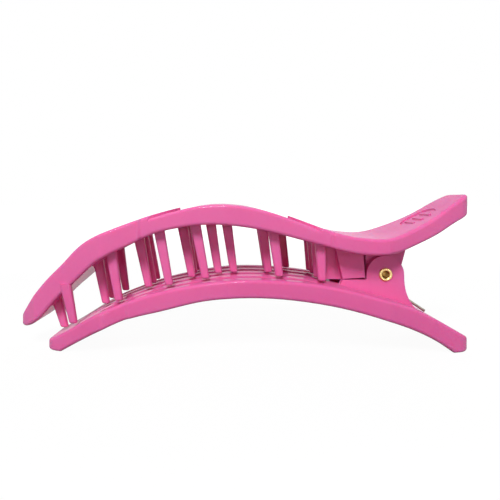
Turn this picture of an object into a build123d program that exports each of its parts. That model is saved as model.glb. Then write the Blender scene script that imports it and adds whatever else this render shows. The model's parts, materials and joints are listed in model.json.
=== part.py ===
from build123d import *
import os
from math import atan2, cos, hypot, pi, sin, sqrt

# Flat hair clip: two moulded jaws, a hollow brass rivet and a torsion spring, in millimetres.
# +X runs from the tip of the jaws to the thumb lever, +Y across the clip, +Z up.
# The origin is on the surface that the closed clip stands on, below the middle of its box.

# Overall size of the closed clip
clip_length = 126.4
clip_height = 43.0
clip_width = 31.0

# Edges of the mouldings
rim_edge_radius = 0.8
outline_corner_radius = 2.4
step_corner_radius = 1.1
nose_radius = 4.4
lever_end_radius = 5.5
lower_tip_corner_radius = 4.0
lower_tail_corner_radius = 4.0
overrun = 3.0

# Raised leaves on top of the upper jaw
leaf_rise = 0.8

# Teeth of the upper jaw
tooth_root_length = 3.0
tooth_root_thickness = 2.2
tooth_tip_length = 2.2
tooth_tip_thickness = 1.6
tooth_corner_radius = 0.7
tooth_end_radius = 0.55
tooth_end_steps = 3
tooth_embed = 2.0
tooth_clearance = 0.35
tooth_row_pitch = 6.6

# Long slots of the lower jaw, one below each row of teeth
slot_width = 3.2

# Hinge: lugs side by side along the rivet
lug_radius = 5.15
lower_lug_thickness = 2.2
upper_lug_radius = 4.6
upper_lug_thickness = 2.1
lug_side_gap = 0.2
stop_clearance = 0.25
stop_heel_rise = 0.35
front_wall_overlap = 0.8
front_wall_clearance = 0.5

# Torsion spring
wire_diameter = 0.8
coil_mean_radius = 2.2
coil_pitch = 1.4
coil_whole_turns = 3
coil_side_play = 0.3
leg_reach = 12.8
leg_clearance = 0.12

# Hollow rivet
rivet_outer_radius = 1.4
rivet_bore_radius = 0.95
rivet_head_radius = 1.88
rivet_head_height = 0.5
rivet_fit_in_lower_lug = 0.02
rivet_fit_in_upper_lug = 0.06

# Oval thumb dish in the lever, with plain grip ridges
dish_length = 9.0
dish_width = 13.0
dish_depth = 0.45
ridge_count = 3
ridge_width = 0.7
ridge_pitch = 2.2

# Side view, as shares of the clip's length and height, from the tip to the lever
upper_top_shares = [
    (-0.0121, 0.1465), (0.0071, 0.2188), (0.0312, 0.3145), (0.0766, 0.4659), (0.1089, 0.5538),
    (0.1532, 0.6779), (0.2238, 0.7824), (0.2772, 0.840), (0.3468, 0.9025), (0.4032, 0.9406),
    (0.4597, 0.9494), (0.5262, 0.924), (0.6048, 0.8507), (0.6704, 0.7775), (0.7198, 0.7384),
    (0.7621, 0.7228), (0.7974, 0.7238), (0.8377, 0.758), (0.9153, 0.8654), (0.9577, 0.9435),
    (0.9778, 0.9787), (0.9899, 0.9953), (1.000, 0.9924), (1.0121, 0.9728),
]
upper_under_shares = [
    (1.0121, 0.9006), (0.9929, 0.8634), (0.9627, 0.8205), (0.9153, 0.7453), (0.8569, 0.6749),
    (0.8165, 0.6349), (0.7762, 0.6212), (0.7329, 0.630), (0.6865, 0.6603), (0.622, 0.7111),
    (0.5444, 0.7697), (0.4718, 0.8039), (0.4133, 0.8078), (0.3569, 0.7863), (0.3095, 0.7511),
    (0.2651, 0.6915), (0.1915, 0.5802), (0.1714, 0.5333), (0.131, 0.4249), (0.0917, 0.3194),
    (0.0454, 0.1778), (0.0222, 0.1397), (-0.0121, 0.1446),
]
lower_top_shares = [
    (0.0454, 0.041), (0.1008, 0.1035), (0.1421, 0.1748), (0.1825, 0.2442), (0.2429, 0.3223),
    (0.2994, 0.380), (0.3861, 0.4386), (0.4647, 0.4708), (0.5353, 0.4747), (0.6179, 0.4581),
    (0.7056, 0.4171), (0.7812, 0.3594), (0.8528, 0.2901), (0.9627, 0.1211), (0.9859, 0.082),
    (1.0081, 0.0459),
]
lower_under_shares = [
    (0.9467, 0.000), (0.876, 0.127), (0.7843, 0.2325), (0.6996, 0.3008), (0.622, 0.3409),
    (0.5554, 0.3604), (0.4839, 0.3624), (0.4063, 0.338), (0.3236, 0.2774), (0.253, 0.2247),
    (0.1734, 0.1172), (0.105, 0.000),
]

# Plan view, as shares of the clip's length and half width, from the tip to the lever
upper_plan_shares = [
    (0.000, 0.220), (0.0413, 0.465), (0.1996, 0.910), (0.2747, 0.829), (0.2838, 0.899),
    (0.4647, 1.000), (0.6779, 0.880), (0.687, 0.936), (0.7984, 0.965), (1.000, 0.420),
]
upper_plan_step_places = [3, 4, 6, 7]
lower_plan_shares = [
    (0.0705, 0.500), (0.1996, 0.900), (0.2495, 0.849), (0.2586, 0.895), (0.4647, 0.990),
    (0.7984, 0.965), (0.985, 0.620),
]
lower_plan_step_places = [2, 3]

# Where the raised leaves end over the middle of the upper jaw: at the rim and on the centre line
tip_leaf_rim_share, tip_leaf_tongue_share = 0.2792, 0.3548
lever_leaf_rim_share, lever_leaf_tongue_share = 0.6825, 0.6028

# Slots: starts and ends as shares of the length, for the inner and the outer pair
inner_slot_shares = (0.126, 0.6694)
outer_slot_shares = (0.1915, 0.6694)

# Teeth: stations of root and tip as shares of the length, one list for each row across the clip
near_outer_tooth_shares = [
    (0.1179, 0.1351), (0.2137, 0.2319), (0.3155, 0.3397), (0.3921, 0.4173), (0.5595, 0.5746),
    (0.6613, 0.6653),
]
near_inner_tooth_shares = [
    (0.0796, 0.0988), (0.1724, 0.1915), (0.2631, 0.2873), (0.3599, 0.3841), (0.4234, 0.4435),
    (0.4597, 0.4778), (0.5403, 0.5554), (0.6613, 0.6653),
]
far_inner_tooth_shares = [
    (0.0796, 0.1008), (0.1744, 0.1946), (0.2641, 0.2893), (0.3609, 0.3851), (0.4597, 0.4778),
    (0.5403, 0.5554), (0.6613, 0.6653),
]
far_outer_tooth_shares = [
    (0.1966, 0.2137), (0.2651, 0.2903), (0.3629, 0.3881), (0.5927, 0.6069), (0.6613, 0.6653),
]

# Hinge side view, as shares of the clip's length and height
hinge_share = (0.8075, 0.4825)
ledge_height_share = 0.4493
ledge_shares = (0.7087, 0.7147)
lug_waist_share = (0.8558, 0.3438)
lug_foot_share = (0.876, 0.2559)
cheek_top_shares = (0.6956, 0.7581)
cheek_foot_shares = (0.7147, 0.7631)
front_wall_share = 0.6784
upper_lug_front_share = 0.7681
upper_lug_back_share = 0.8649
dish_share = 0.9002


def side(share):
    """A point of the side view, from its shares of the length and height."""
    return ((share[0] - 1 / 2) * clip_length, share[1] * clip_height)


def station(share):
    """A place along the clip, from its share of the length."""
    return (share - 1 / 2) * clip_length


def height_at(curve, x):
    """The height of a side view curve at x, found by halving its span."""
    low, high = (0, 1) if (curve @ 0).X < (curve @ 1).X else (1, 0)
    for _ in range(40):
        middle = (low + high) / 2
        if (curve @ middle).X < x:
            low = middle
        else:
            high = middle
    return (curve @ low).Y


def slab(face, from_y, to_y):
    """A side view face, made solid between two places across the clip."""
    plane = Plane(origin=(0, to_y, 0), x_dir=(1, 0, 0), z_dir=(0, -1, 0))
    return extrude(plane * face, amount=to_y - from_y)


def column(face):
    """A plan view face, made solid over the whole height of the clip."""
    return extrude(Pos(0, 0, -overrun) * face, amount=clip_height + 2 * overrun)


def outline(shares, step_places, first_radius, last_radius):
    """A plan view outline, the same on both sides, with a radius at each corner."""
    half = [(station(x), y * clip_width / 2) for x, y in shares]
    other = [(x, -y) for x, y in reversed(half)]
    radii = [step_corner_radius if n in step_places else outline_corner_radius for n in range(len(half))]
    radii[0], radii[-1] = first_radius, last_radius
    return make_face(FilletPolyline(*half, *other, radius=radii + radii[::-1], close=True))


def rounded_plate(profile, plan):
    """A plate with a side view and a plan view, with its edges rounded, but for the upright ones."""
    plate = slab(profile, -clip_width, clip_width) & column(plan)
    return fillet(plate.edges() - plate.edges().filter_by(Axis.Z), rim_edge_radius)


# Side view curves of the two jaws
upper_top = Spline(*[side(s) for s in upper_top_shares])
upper_under = Spline(*[side(s) for s in upper_under_shares])
lower_top = Spline(*[side(s) for s in lower_top_shares])
lower_under = Spline(*[side(s) for s in lower_under_shares])

# Hinge line and the places of the lugs across the clip
hinge_x, hinge_z = side(hinge_share)
row_places = [(row - 3 / 2) * tooth_row_pitch for row in range(4)]


def leg_end(curve, below):
    """How far the end of a spring leg is from the hinge line, and in which direction."""
    offset = wire_diameter / 2 + leg_clearance
    away_x = leg_reach
    away_z = height_at(curve, hinge_x + leg_reach) - (offset if below else -offset) - hinge_z
    return hypot(away_x, away_z), atan2(away_z, away_x)


def leg_length(curve, below):
    """The length of a spring leg, from where it leaves the coil."""
    away, _ = leg_end(curve, below)
    return sqrt(away ** 2 - coil_mean_radius ** 2)


def leg_angle(curve, below):
    """The angle at which a spring leg runs from the coil to the face it presses on."""
    _, towards = leg_end(curve, below)
    turn = atan2(coil_mean_radius, leg_length(curve, below))
    return towards - turn if below else towards + turn


upper_leg_angle = leg_angle(upper_under, True)
lower_leg_angle = leg_angle(lower_top, False)
coil_start = lower_leg_angle - pi / 2
coil_sweep = 2 * pi * coil_whole_turns - (upper_leg_angle + pi / 2 - (coil_start + 2 * pi))
coil_length = coil_pitch * coil_sweep / (2 * pi) + wire_diameter
upper_lug_inside = coil_length / 2 + coil_side_play
upper_lug_outside = upper_lug_inside + upper_lug_thickness
lower_lug_inside = upper_lug_outside + lug_side_gap
lower_lug_outside = lower_lug_inside + lower_lug_thickness


def upper_plate(top, start, end):
    """The curved plate of the upper jaw and its lever under a top curve, from start to end."""
    lever_wall, tip_wall = Line(top @ 1, upper_under @ 0), Line(upper_under @ 1, top @ 0)
    profile = make_face(Curve() + [top, lever_wall, upper_under, tip_wall])
    plan = outline(upper_plan_shares, upper_plan_step_places, nose_radius, lever_end_radius)
    plan &= Pos((start + end) / 2, 0) * Rectangle(end - start, 2 * clip_width)
    return rounded_plate(profile, plan)


def middle_plan():
    """The plan view of the sunk middle of the upper jaw, between the tongues of the raised leaves."""
    half = clip_width / 2
    tip_x, tip_tongue = station(tip_leaf_rim_share), station(tip_leaf_tongue_share)
    lever_x, lever_tongue = station(lever_leaf_rim_share), station(lever_leaf_tongue_share)
    tip_arc = ThreePointArc((tip_x, half), (tip_tongue, 0), (tip_x, -half))
    lever_arc = ThreePointArc((lever_x, -half), (lever_tongue, 0), (lever_x, half))
    near = Line(tip_arc @ 1, lever_arc @ 0)
    far = Line(lever_arc @ 1, tip_arc @ 0)
    return make_face(Curve() + [tip_arc, near, lever_arc, far])


def upper_shell():
    """The upper jaw without teeth and lugs: two raised leaves with a sunk middle between them."""
    middle = column(middle_plan())
    sunk_top = Pos(0, -leaf_rise) * upper_top
    raised = upper_plate(upper_top, -clip_length, clip_length)
    sunk = upper_plate(
        sunk_top, station(tip_leaf_rim_share) - overrun, station(lever_leaf_rim_share) + overrun
    )
    return raised - middle + (sunk & middle)


def recess(plan, depth):
    """What is cut to sink part of the upper jaw's top by a depth, inside a plan view face."""
    sunk = Pos(0, -depth) * upper_top
    left, right = (sunk @ 0).X, (sunk @ 1).X
    roof = clip_height + overrun
    lines = Polyline(sunk @ 1, (right, roof), (left, roof), sunk @ 0)
    band = make_face(Curve() + [sunk, lines])
    return slab(band, -clip_width, clip_width) & column(plan)


def thumb_dish():
    """The oval dish in the lever, with plain ridges left standing across it."""
    middle = station(dish_share)
    plan = Pos(middle, 0) * Ellipse(dish_length / 2, dish_width / 2)
    first = -(ridge_count - 1) / 2
    for number in range(ridge_count):
        bar = SlotOverall(dish_width / 2 + ridge_width, ridge_width, rotation=90)
        plan -= Pos(middle + (first + number) * ridge_pitch, 0) * bar
    return recess(plan, dish_depth)


def tooth(place, shares):
    """One leaning, tapered tooth with a domed end, from inside the upper jaw to just above the lower jaw."""
    root_x, tip_x = station(shares[0]), station(shares[1])
    ends = (tip_x - tooth_tip_length / 2, tip_x + tooth_tip_length / 2)
    tip_z = max(height_at(lower_top, x) for x in ends) + tooth_clearance
    root_z = height_at(upper_under, root_x) + tooth_embed
    root = RectangleRounded(tooth_root_length, tooth_root_thickness, tooth_corner_radius)
    sections = [Pos(root_x, place, root_z) * root]
    for step in range(tooth_end_steps + 1):
        turn = pi / 2 * step / (tooth_end_steps + 1 / 2)
        inset = tooth_end_radius * (1 - cos(turn))
        above = tooth_end_radius * (1 - sin(turn))
        lean = (tip_x - root_x) * above / (root_z - tip_z)
        section = RectangleRounded(
            tooth_tip_length - 2 * inset, tooth_tip_thickness - 2 * inset, tooth_corner_radius - inset
        )
        sections.append(Pos(tip_x - lean, place, tip_z + above) * section)
    return loft(sections, ruled=True)


def lug_ring(radius, inside, outside, hole_radius, face):
    """A lug and its mirror copy, each a side view face with a round end and a hole."""
    round_end = Pos(hinge_x, hinge_z) * Circle(radius)
    whole = face + round_end - Pos(hinge_x, hinge_z) * Circle(hole_radius)
    one = slab(whole, inside, outside)
    return [one, mirror(one, Plane.XZ)]


def upper_lugs():
    """The two lugs of the upper jaw, which turn on the rivet beside the spring."""
    front, back = station(upper_lug_front_share), station(upper_lug_back_share)
    front_z = height_at(upper_under, front) + tooth_embed
    back_z = height_at(upper_under, back) + tooth_embed / 2
    shape = Polyline(
        (front, front_z), (hinge_x - upper_lug_radius, hinge_z), (hinge_x + upper_lug_radius, hinge_z),
        (back, back_z), close=True,
    )
    hole = rivet_outer_radius + rivet_fit_in_upper_lug
    return lug_ring(upper_lug_radius, upper_lug_inside, upper_lug_outside, hole, make_face(shape))


def cheeks():
    """The two stops of the upper jaw, whose feet stand just above the ledges of the lower lugs."""
    ledge = ledge_height_share * clip_height
    front, back = [station(share) for share in cheek_top_shares]
    foot_front, foot_back = [station(share) for share in cheek_foot_shares]
    shape = Polyline(
        (front, height_at(upper_under, front) + tooth_embed), (foot_front, ledge + stop_clearance),
        (foot_back, ledge + stop_clearance + stop_heel_rise),
        (back, height_at(upper_under, back) + tooth_embed), close=True,
    )
    one = slab(make_face(shape), upper_lug_inside, lower_lug_outside)
    return [one, mirror(one, Plane.XZ)]


def front_wall():
    """The wall of the upper jaw between the two stops, which closes the front of the spring's room."""
    front = station(front_wall_share)
    top_back = station(cheek_top_shares[0]) + front_wall_overlap
    foot_back = station(cheek_foot_shares[0]) + front_wall_overlap
    top_z = height_at(upper_under, front) + tooth_embed
    foot_z = height_at(lower_top, front) + front_wall_clearance
    shape = Polyline((front, top_z), (front, foot_z), (foot_back, foot_z), (top_back, top_z), close=True)
    return slab(make_face(shape), -upper_lug_outside, upper_lug_outside)


def upper_jaw():
    """The upper jaw in one moulding: plate, lever, teeth, stops, front wall and lugs."""
    body = upper_shell() - thumb_dish()
    rows = [near_outer_tooth_shares, near_inner_tooth_shares, far_inner_tooth_shares, far_outer_tooth_shares]
    teeth = [tooth(place, shares) for place, row in zip(row_places, rows) for shares in row]
    return body + teeth + cheeks() + front_wall() + upper_lugs()


def lower_plate():
    """The arched plate of the lower jaw, with its tail and slots."""
    tail_foot = Polyline(lower_top @ 1, ((lower_top @ 1).X, 0), lower_under @ 0)
    tip_foot = Polyline(lower_under @ 1, ((lower_top @ 0).X, 0), lower_top @ 0)
    profile = make_face(Curve() + [lower_top, tail_foot, lower_under, tip_foot])
    plan = outline(
        lower_plan_shares, lower_plan_step_places, lower_tip_corner_radius, lower_tail_corner_radius
    )
    body = rounded_plate(profile, plan)
    for place in row_places:
        start, end = outer_slot_shares if abs(place) > tooth_row_pitch else inner_slot_shares
        slot = SlotOverall(station(end) - station(start), slot_width)
        body -= column(Pos((station(start) + station(end)) / 2, place) * slot)
    return body


def lower_lugs():
    """The two lugs of the lower jaw, each with a ledge in front that the upper jaw's stop comes down to."""
    ledge = ledge_height_share * clip_height
    start, ledge_start = [station(share) for share in ledge_shares]
    waist, foot = side(lug_waist_share), side(lug_foot_share)
    sunk = tooth_embed
    back = Spline((hinge_x + lug_radius, hinge_z), waist, foot, tangents=[(0, -1), (1, -1)])
    rest = Polyline(
        foot, (foot[0], foot[1] - sunk), (start, height_at(lower_top, start) - sunk),
        (start, height_at(lower_top, start)), (ledge_start, ledge), (hinge_x - lug_radius, ledge),
        (hinge_x - lug_radius, hinge_z), (hinge_x + lug_radius, hinge_z),
    )
    hole = rivet_outer_radius + rivet_fit_in_lower_lug
    face = make_face(Curve() + [back, rest])
    return lug_ring(lug_radius, lower_lug_inside, lower_lug_outside, hole, face)


def lower_jaw():
    """The lower jaw in one moulding: arched plate, tail and lugs."""
    return lower_plate() + lower_lugs()


def hinge_rivet():
    """The hollow rivet, rolled over at both ends."""
    seat = lower_lug_outside
    shank, bore, head = rivet_outer_radius, rivet_bore_radius, rivet_head_radius
    roll = (bore + head) / 2
    far_end = ThreePointArc((bore, seat), (roll, seat + rivet_head_height), (head, seat))
    near_end = ThreePointArc((head, -seat), (roll, -seat - rivet_head_height), (bore, -seat))
    outside = Polyline((head, seat), (shank, seat), (shank, -seat), (head, -seat))
    inside = Line((bore, -seat), (bore, seat))
    profile = make_face(Curve() + [far_end, outside, near_end, inside])
    return Pos(hinge_x, 0, hinge_z) * revolve(profile, Axis.Y)


def coil_place(turned):
    """A point of the coil's middle line and its direction, after an angle turned from the lower leg."""
    angle = coil_start - turned
    rise = coil_pitch / (2 * pi)
    place = Vector(
        hinge_x + coil_mean_radius * cos(angle), rise * (turned - coil_sweep / 2),
        hinge_z + coil_mean_radius * sin(angle),
    )
    flat = turned in (0, coil_sweep)
    way = Vector(coil_mean_radius * sin(angle), 0 if flat else rise, -coil_mean_radius * cos(angle))
    return place, way.normalized()


def biarc(start, start_way, end, end_way):
    """Two arcs that join two points along their directions."""
    span = end - start
    both = start_way + end_way
    spread = 2 * (1 - start_way.dot(end_way))
    reach = (-span.dot(both) + sqrt(span.dot(both) ** 2 + spread * span.dot(span))) / spread
    first, last = start + start_way * reach, end - end_way * reach
    middle = (first + last) / 2
    return [
        Edge.make_tangent_arc(start, start_way, middle),
        Edge.make_tangent_arc(middle, (last - first).normalized(), end),
    ]


def torsion_spring():
    """The spring in one unbroken wire: lower leg, coil and upper leg."""
    steps = round(coil_sweep / (pi / 2))
    stops = [coil_sweep * number / steps for number in range(steps)] + [coil_sweep]
    places = [coil_place(turned) for turned in stops]
    edges = []
    for (start, start_way), (end, end_way) in zip(places, places[1:]):
        edges += biarc(start, start_way, end, end_way)
    lower_start = places[0][0] - places[0][1] * leg_length(lower_top, False)
    upper_end = places[-1][0] + places[-1][1] * leg_length(upper_under, True)
    first_leg = Edge.make_line(lower_start, places[0][0])
    last_leg = Edge.make_line(places[-1][0], upper_end)
    path = Wire([first_leg] + edges + [last_leg])
    section = Plane(origin=lower_start, z_dir=places[0][1]) * Circle(wire_diameter / 2)
    print_least_gap(path)
    return sweep(section, path=path)


def print_least_gap(path):
    """Print the least gap between turns of the wire, measured on points along it."""
    count = 600
    points = [path @ (number / count) for number in range(count + 1)]
    step = path.length / count
    skip = round(pi * wire_diameter / step) + 1
    gaps = [
        (points[i] - points[j]).length - wire_diameter
        for i in range(0, count, 2) for j in range(i + skip, count, 2)
    ]
    print("least gap of the spring to itself, mm:", round(min(gaps), 3))


parts = {
    "upper_jaw": upper_jaw,
    "lower_jaw": lower_jaw,
    "hinge_rivet": hinge_rivet,
    "torsion_spring": torsion_spring,
}
os.makedirs("parts", exist_ok=True)
for name, make in parts.items():
    part = make()
    part.label = name
    export_step(part, "parts/" + name + ".step")
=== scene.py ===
import json
import logging
import math
from dataclasses import dataclass, field
from enum import Enum
from typing import Any, Dict, List, Optional, Tuple, Union

import bmesh
import bpy
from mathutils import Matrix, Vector


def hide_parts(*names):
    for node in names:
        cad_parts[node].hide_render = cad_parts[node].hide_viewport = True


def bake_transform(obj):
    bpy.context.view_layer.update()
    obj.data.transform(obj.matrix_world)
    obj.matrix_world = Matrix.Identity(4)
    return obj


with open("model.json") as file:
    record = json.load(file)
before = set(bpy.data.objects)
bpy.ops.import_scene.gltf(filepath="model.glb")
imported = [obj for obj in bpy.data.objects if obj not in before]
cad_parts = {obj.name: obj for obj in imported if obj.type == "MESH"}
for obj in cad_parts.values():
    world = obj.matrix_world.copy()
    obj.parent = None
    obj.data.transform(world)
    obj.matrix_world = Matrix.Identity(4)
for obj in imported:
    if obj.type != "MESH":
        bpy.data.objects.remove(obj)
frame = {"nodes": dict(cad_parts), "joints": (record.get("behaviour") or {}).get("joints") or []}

logging.basicConfig(level=logging.INFO, format="%(message)s")
log = logging.getLogger("hair_clip")

Triple = Tuple[float, float, float]
Colour = Triple
Operand = Union["Signal", float]
MM = 0.001
WHITE: Colour = (1.0, 1.0, 1.0)
CLIP_MIDDLE: Triple = (0.0, 0.0, 0.02)

# The curve of screen colours: straight up to the knee, and a power above it.
SCREEN_KNEE = 0.04045
SCREEN_SLOPE = 12.92
SCREEN_OFFSET = 0.055
SCREEN_POWER = 2.4


def from_screen(red: int, green: int, blue: int) -> Colour:
    """Turn a screen colour of 0 to 255 into the linear colour that a shader takes.

    Args:
        red: Red value.
        green: Green value.
        blue: Blue value.

    Returns:
        The three linear values.
    """
    def linear(value: int) -> float:
        """Undo the screen's curve for one channel.

        Args:
            value: Value of the channel, 0 to 255.

        Returns:
            The linear value, 0 to 1.
        """
        share = value / 255
        if share <= SCREEN_KNEE:
            return share / SCREEN_SLOPE
        return ((share + SCREEN_OFFSET) / (1 + SCREEN_OFFSET)) ** SCREEN_POWER
    return linear(red), linear(green), linear(blue)


@dataclass(frozen=True)
class Pattern:
    """A noise: how fine it is, where its patches start and are full, and how it lies."""

    scale: float
    detail: float = 2.0
    rough: float = 0.5
    start: float = 0.0
    full: float = 1.0
    turn: Triple = (0.0, 0.0, 0.0)
    stretch: Triple = (1.0, 1.0, 1.0)


class Signal:
    """A value socket in a node tree. Sums and products of signals add Math nodes."""

    def __init__(self, tree: "ShaderTree", socket: bpy.types.NodeSocket) -> None:
        """Wrap one output socket of a tree."""
        self.tree = tree
        self.socket = socket

    def _math(self, operation: str, first: Operand, second: Operand) -> "Signal":
        """Add one Math node and return its output.

        Args:
            operation: Name of the Math node's operation.
            first: Signal or number on the left.
            second: Signal or number on the right.

        Returns:
            The result as a signal.
        """
        return self.tree.add("ShaderNodeMath", {"operation": operation}, {0: first, 1: second})[0]

    def __add__(self, other: Operand) -> "Signal":
        """Sum with a signal or number."""
        return self._math("ADD", self, other)

    def __radd__(self, other: float) -> "Signal":
        """Sum with a number on the left."""
        return self._math("ADD", other, self)

    def __sub__(self, other: Operand) -> "Signal":
        """Difference from a signal or number."""
        return self._math("SUBTRACT", self, other)

    def __rsub__(self, other: float) -> "Signal":
        """A number less this signal."""
        return self._math("SUBTRACT", other, self)

    def __mul__(self, other: Operand) -> "Signal":
        """Product with a signal or number."""
        return self._math("MULTIPLY", self, other)

    def __rmul__(self, other: float) -> "Signal":
        """Product with a number on the left."""
        return self._math("MULTIPLY", other, self)

    def most(self, other: Operand) -> "Signal":
        """The larger of two signals."""
        return self._math("MAXIMUM", self, other)

    def ramp(self, low: float, high: float) -> "Signal":
        """Rise smoothly from 0 at low to 1 at high.

        Args:
            low: Value that gives 0.
            high: Value that gives 1.

        Returns:
            The smooth ramp as a signal.
        """
        settings = {"interpolation_type": "SMOOTHSTEP"}
        return self.tree.add("ShaderNodeMapRange", settings, {0: self, 1: low, 2: high})[0]


class ShaderTree:
    """The node tree of one material or world."""

    def __init__(self, tree: bpy.types.NodeTree) -> None:
        """Take over a node tree and empty it."""
        self.tree = tree
        self.tree.nodes.clear()

    def add(self, kind: str, settings: Optional[Dict[str, Any]] = None,
            values: Optional[Dict[Any, Any]] = None) -> List[Signal]:
        """Add a node.

        Args:
            kind: Node type.
            settings: Properties that are set first.
            values: Numbers, colours or signals of the inputs, by name or number.

        Returns:
            The node's outputs that are in use, in order.
        """
        node = self.tree.nodes.new(kind)
        for name, value in (settings or {}).items():
            setattr(node, name, value)
        inputs = [socket for socket in node.inputs if socket.enabled]
        for name, value in (values or {}).items():
            socket = inputs[name] if isinstance(name, int) else node.inputs[name]
            if isinstance(value, Signal):
                self.tree.links.new(value.socket, socket)
            elif isinstance(value, tuple) and socket.type == "RGBA":
                socket.default_value = (*value, 1.0)
            else:
                socket.default_value = value
        return [Signal(self, socket) for socket in node.outputs if socket.enabled]

    def mix(self, share: Signal, first: Colour, second: Colour) -> Signal:
        """Mix two colours.

        Args:
            share: 0 for the first colour and 1 for the second.
            first: First colour.
            second: Second colour.

        Returns:
            The mixed colour.
        """
        settings = {"data_type": "RGBA", "blend_type": "MIX"}
        return self.add("ShaderNodeMix", settings, {0: share, 1: first, 2: second})[0]

    def place(self, turn: Triple = (0.0, 0.0, 0.0), stretch: Triple = (1.0, 1.0, 1.0)) -> Signal:
        """Object coordinates, turned and stretched.

        Args:
            turn: Angles about the three axes.
            stretch: Scale along the three axes.

        Returns:
            The coordinates.
        """
        here = self.tree.nodes.get("Texture Coordinate")
        if here is None:
            here = self.tree.nodes.new("ShaderNodeTexCoord")
        where = Signal(self, here.outputs["Object"])
        values = {"Vector": where, "Rotation": turn, "Scale": stretch}
        return self.add("ShaderNodeMapping", {"vector_type": "POINT"}, values)[0]

    def noise(self, pattern: Pattern) -> Signal:
        """Noise of 0 to 1, as a pattern says.

        Args:
            pattern: How the noise looks and lies.

        Returns:
            The noise value.
        """
        values = {
            "Vector": self.place(pattern.turn, pattern.stretch), "Scale": pattern.scale,
            "Detail": pattern.detail, "Roughness": pattern.rough,
        }
        return self.add("ShaderNodeTexNoise", {"noise_dimensions": "3D"}, values)[0]

    def patches(self, pattern: Pattern) -> Signal:
        """Patches of 1 with soft edges on a ground of 0, where a pattern's noise is high.

        Args:
            pattern: How the noise looks and lies, and where its patches start and are full.

        Returns:
            The patches.
        """
        return self.noise(pattern).ramp(pattern.start, pattern.full)

    def relief(self, height: Signal, depth: float) -> Signal:
        """Turn a height signal into a bumped normal.

        Args:
            height: Height, 0 to 1.
            depth: Depth in metres of a height of 1.

        Returns:
            The normal.
        """
        return self.add("ShaderNodeBump", {}, {"Distance": depth, "Height": height})[0]

    def seen(self) -> Signal:
        """1 for a ray from the camera or one mirrored or let through, and 0 for the rest."""
        rays = {ray.socket.name: ray for ray in self.add("ShaderNodeLightPath")}
        return rays["Is Camera Ray"].most(rays["Is Glossy Ray"]).most(rays["Is Transmission Ray"])


class Dressable:
    """Shared work of the finishes: start a material, give it a surface and assign it."""

    name: str

    def surface(self, tree: ShaderTree) -> Signal:
        """Make the shader."""
        raise NotImplementedError

    def build(self) -> bpy.types.Material:
        """Make the material.

        Returns:
            The material.
        """
        material = bpy.data.materials.new(self.name)
        material.use_nodes = True
        tree = ShaderTree(material.node_tree)
        tree.add("ShaderNodeOutputMaterial", {}, {"Surface": self.surface(tree)})
        return material

    def dress(self, piece: bpy.types.Object) -> None:
        """Put this finish on every slot of a piece.

        Args:
            piece: Object to dress.
        """
        material = self.build()
        if not piece.material_slots:
            piece.data.materials.append(material)
        for holder in piece.material_slots:
            holder.material = material


@dataclass(frozen=True)
class GlossMoulding(Dressable):
    """Opaque plastic from a polished mould: a glowing body under a thin clear skin."""

    name: str = "gloss_moulding"
    body_colour: Colour = from_screen(229, 108, 168)
    deep_colour: Colour = from_screen(222, 93, 157)
    flow: Pattern = Pattern(34.0, detail=3.0, rough=0.55, start=0.35, full=0.7,
                            stretch=(0.22, 1.0, 0.6))
    grain: Pattern = Pattern(1400.0, start=0.45, full=0.8)
    scuffs: Pattern = Pattern(1900.0, detail=3.0, rough=0.7, start=0.62, full=0.74,
                              turn=(0.0, 0.2, 0.35), stretch=(0.05, 1.0, 1.0))
    haze: Pattern = Pattern(90.0, start=0.4, full=0.8)
    ripple: Pattern = Pattern(150.0, detail=1.0)
    flow_tint: float = 0.8
    grain_tint: float = 0.2
    roughness: float = 0.2
    scuff_roughness: float = 0.08
    haze_roughness: float = 0.05
    skin: float = 0.38
    scuff_wear: float = 0.10
    haze_wear: float = 0.05
    skin_roughness: float = 0.06
    skin_ior: float = 1.5
    glow: float = 0.5
    glow_depth: float = 2.2 * MM
    glow_reach: Colour = (1.0, 0.16, 0.34)
    ripple_depth: float = 0.010 * MM
    grain_depth: float = 0.0012 * MM
    scuff_depth_share: float = 0.06

    def surface(self, tree: ShaderTree) -> Signal:
        """Make the shader: flow tint, fine scuffs, haze, mould ripple and grain.

        Args:
            tree: Node tree of the material.

        Returns:
            The shader.
        """
        grain = tree.noise(self.grain)
        specks = grain.ramp(self.grain.start, self.grain.full)
        scuffs = tree.patches(self.scuffs)
        haze = tree.patches(self.haze)
        tint = tree.patches(self.flow) * self.flow_tint + specks * self.grain_tint
        roughness = scuffs * self.scuff_roughness + haze * self.haze_roughness + self.roughness
        height = (tree.noise(self.ripple) + grain * (self.grain_depth / self.ripple_depth)
                  - scuffs * self.scuff_depth_share)
        return tree.add("ShaderNodeBsdfPrincipled", {}, {
            "Base Color": tree.mix(tint, self.body_colour, self.deep_colour),
            "Roughness": roughness, "Specular IOR Level": 0.0,
            "Coat Weight": self.skin - scuffs * self.scuff_wear - haze * self.haze_wear,
            "Coat Roughness": self.skin_roughness, "Coat IOR": self.skin_ior,
            "Subsurface Weight": self.glow, "Subsurface Radius": self.glow_reach,
            "Subsurface Scale": self.glow_depth,
            "Normal": tree.relief(height, self.ripple_depth),
        })[0]


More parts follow.
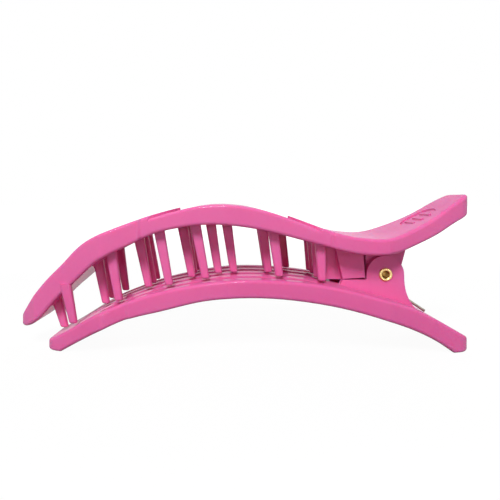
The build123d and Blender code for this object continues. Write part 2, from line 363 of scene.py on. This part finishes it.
@dataclass(frozen=True)
class TurnedMetal(Dressable):
    """Bright metal with fine lines along the way that it was drawn or turned."""

    name: str
    bright: Colour
    dull: Colour
    roughness: float
    lines: Pattern
    tarnish: Pattern = Pattern(520.0, detail=4.0, rough=0.6, start=0.45, full=0.78)
    pits: Pattern = Pattern(5200.0, detail=1.0, start=0.66, full=0.8)
    tarnish_tint: float = 0.7
    pit_tint: float = 0.3
    tarnish_roughness: float = 0.18
    line_roughness: float = 0.10
    line_depth: float = 0.006 * MM
    pit_depth_share: float = 0.5

    def surface(self, tree: ShaderTree) -> Signal:
        """Make the shader: tool lines, tarnish in patches and small pits.

        Args:
            tree: Node tree of the material.

        Returns:
            The shader.
        """
        lines = tree.noise(self.lines)
        tarnish = tree.patches(self.tarnish)
        pits = tree.patches(self.pits)
        tint = tarnish * self.tarnish_tint + pits * self.pit_tint
        roughness = tarnish * self.tarnish_roughness + lines * self.line_roughness + self.roughness
        height = lines - pits * self.pit_depth_share
        return tree.add("ShaderNodeBsdfPrincipled", {}, {
            "Base Color": tree.mix(tint, self.bright, self.dull), "Metallic": 1.0,
            "Roughness": roughness, "Normal": tree.relief(height, self.line_depth),
        })[0]


@dataclass(frozen=True)
class StudioSurface(Dressable):
    """Floor of the studio, which takes the shadow and shows white to the camera."""

    name: str = "studio_white"
    tone: float = 0.22
    glow: float = 0.8
    white: float = 1.2
    near: float = 0.16
    far: float = 0.45

    def surface(self, tree: ShaderTree) -> Signal:
        """Make the shader: matt to the lamps, and glowing white where it is seen.

        Args:
            tree: Node tree of the material.

        Returns:
            The shader, which glows in part near the clip and wholly far from it.
        """
        away = tree.add("ShaderNodeVectorMath", {"operation": "LENGTH"}, {0: tree.place()})[0]
        share = away.ramp(self.near, self.far) * (1.0 - self.glow) + self.glow
        tone = (self.tone, self.tone, self.tone)
        matt = tree.add("ShaderNodeBsdfDiffuse", {}, {"Color": tone})[0]
        glow = tree.add("ShaderNodeEmission", {}, {"Strength": self.white})[0]
        return tree.add("ShaderNodeMixShader", {}, {0: tree.seen() * share, 1: matt, 2: glow})[0]


class Finish(Enum):
    """The finishes of the clip."""

    MOULDING = GlossMoulding()
    RIVET = TurnedMetal(
        name="rivet_brass", bright=from_screen(232, 205, 142), dull=from_screen(168, 118, 58),
        roughness=0.22, lines=Pattern(2600.0, rough=0.6, stretch=(1.0, 0.06, 1.0)),
    )
    SPRING = TurnedMetal(
        name="spring_wire", bright=from_screen(214, 206, 190), dull=from_screen(132, 122, 104),
        roughness=0.26, lines=Pattern(3000.0, rough=0.6, stretch=(0.08, 1.0, 0.08)),
    )


@dataclass
class Mouldings:
    """The two jaws, whose shapes come from the frame."""

    names: Tuple[str, str] = ("upper_jaw", "lower_jaw")

    def dress(self) -> List[bpy.types.Object]:
        """Give both jaws the gloss finish.

        Returns:
            The dressed objects.
        """
        pieces = [frame["nodes"][name] for name in self.names]
        for piece in pieces:
            Finish.MOULDING.value.dress(piece)
        return pieces


@dataclass
class Fastening:
    """The hollow rivet in the lugs."""

    name: str = "hinge_rivet"

    def dress(self) -> List[bpy.types.Object]:
        """Give the rivet its brass.

        Returns:
            The dressed object, in a list.
        """
        piece = frame["nodes"][self.name]
        Finish.RIVET.value.dress(piece)
        return [piece]


@dataclass
class JawSpring:
    """The torsion spring, wound about the rivet, with a leg under each half of the grip."""

    node: str = "torsion_spring"
    wire: float = 0.8 * MM
    weld: float = 0.0002 * MM
    hinge: Vector = field(default_factory=lambda: Vector(frame["joints"][0]["pos_m"]))

    def build(self) -> List[bpy.types.Object]:
        """Copy the wire of the frame as one closed smooth tube.

        Returns:
            The spring, in a list.
        """
        piece = self._wire()
        Finish.SPRING.value.dress(piece)
        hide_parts(self.node)
        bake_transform(piece)
        return [piece]

    def _wire(self) -> bpy.types.Object:
        """Join the frame's faces into one mesh.

        Returns:
            The wire's object.
        """
        shape = bmesh.new()
        shape.from_mesh(frame["nodes"][self.node].data)
        bmesh.ops.remove_doubles(shape, verts=shape.verts, dist=self.weld)
        bmesh.ops.recalc_face_normals(shape, faces=shape.faces)
        for face in shape.faces:
            face.smooth = True
        mesh = bpy.data.meshes.new("spring_wire_tube")
        shape.to_mesh(mesh)
        shape.free()
        piece = bpy.data.objects.new("spring_wire_tube", mesh)
        bpy.context.scene.collection.objects.link(piece)
        return piece


@dataclass(frozen=True)
class Lamp:
    """A soft lamp: a flat panel in metres that points at the clip, and its power in watts."""

    name: str
    place: Triple
    size: Tuple[float, float]
    power: float
    target: Triple = CLIP_MIDDLE
    mirrored: bool = True

    def hang(self) -> None:
        """Hang the lamp. Its panel shows in reflections where it is mirrored."""
        data = bpy.data.lights.new(self.name, "AREA")
        data.shape = "RECTANGLE"
        data.size, data.size_y = self.size
        data.energy = self.power
        lamp = bpy.data.objects.new(self.name, data)
        lamp.location = self.place
        aim = Vector(self.target) - Vector(self.place)
        lamp.rotation_euler = aim.to_track_quat("-Z", "Y").to_euler()
        lamp.visible_glossy = self.mirrored
        bpy.context.scene.collection.objects.link(lamp)


@dataclass
class Studio:
    """Floor, world, lamps and camera."""

    eye: Triple = (-4.17 * MM, -139.5 * MM, 41.25 * MM)
    lens: float = 34.55
    sensor: float = 36.0
    shift: Tuple[float, float] = (0.042, -0.10)
    nearest: float = 5.0 * MM
    floor_size: float = 6.0
    daylight: float = 0.18
    lamps: Tuple[Lamp, ...] = (
        Lamp("front", (-0.10, -0.54, 0.52), (0.22, 0.22), 4.8),
        Lamp("back", (0.14, 0.60, 0.40), (0.30, 0.30), 2.0, mirrored=False),
        Lamp("glint_left", (-0.14, -0.60, 0.10), (0.02, 0.02), 0.3),
        Lamp("glint_right", (0.33, -0.58, 0.12), (0.02, 0.02), 0.3, target=(0.03, 0.0, 0.02)),
        Lamp("overhead", (0.02, 0.10, 0.55), (0.7, 0.5), 0.06),
    )

    def build(self) -> None:
        """Make the whole studio."""
        self._floor()
        self._world()
        for lamp in self.lamps:
            lamp.hang()
        self._camera()
        bpy.context.scene.view_settings.view_transform = "Standard"

    def _floor(self) -> None:
        """Lay the floor under the clip."""
        shape = bmesh.new()
        bmesh.ops.create_grid(shape, x_segments=2, y_segments=2, size=self.floor_size / 2)
        mesh = bpy.data.meshes.new("studio_floor")
        shape.to_mesh(mesh)
        shape.free()
        floor = bpy.data.objects.new("studio_floor", mesh)
        bpy.context.scene.collection.objects.link(floor)
        StudioSurface().dress(floor)

    def _world(self) -> None:
        """Surround the scene with white where it is seen, and with dim daylight elsewhere."""
        world = bpy.data.worlds.new("studio")
        bpy.context.scene.world = world
        world.use_nodes = True
        tree = ShaderTree(world.node_tree)
        strength = tree.seen() * (1.0 - self.daylight) + self.daylight
        sky = tree.add("ShaderNodeBackground", {}, {"Color": WHITE, "Strength": strength})[0]
        tree.add("ShaderNodeOutputWorld", {}, {"Surface": sky})

    def _camera(self) -> None:
        """Stand the camera where the photograph was taken from."""
        data = bpy.data.cameras.new("photo_camera")
        data.sensor_width = self.sensor
        data.lens = self.lens
        data.shift_x, data.shift_y = self.shift
        data.clip_start = self.nearest
        camera = bpy.data.objects.new("photo_camera", data)
        camera.location = self.eye
        camera.rotation_euler = (math.pi / 2, 0.0, 0.0)
        bpy.context.scene.collection.objects.link(camera)
        bpy.context.scene.camera = camera


def main() -> None:
    """Build the clip's dressing in order and report each piece."""
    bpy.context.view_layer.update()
    pieces: List[bpy.types.Object] = []
    pieces += Mouldings().dress()
    pieces += Fastening().dress()
    pieces += JawSpring().build()
    for piece in pieces:
        log.info("%s: %d faces", piece.name, len(piece.data.polygons))
    Studio().build()


if __name__ == "__main__":
    main()
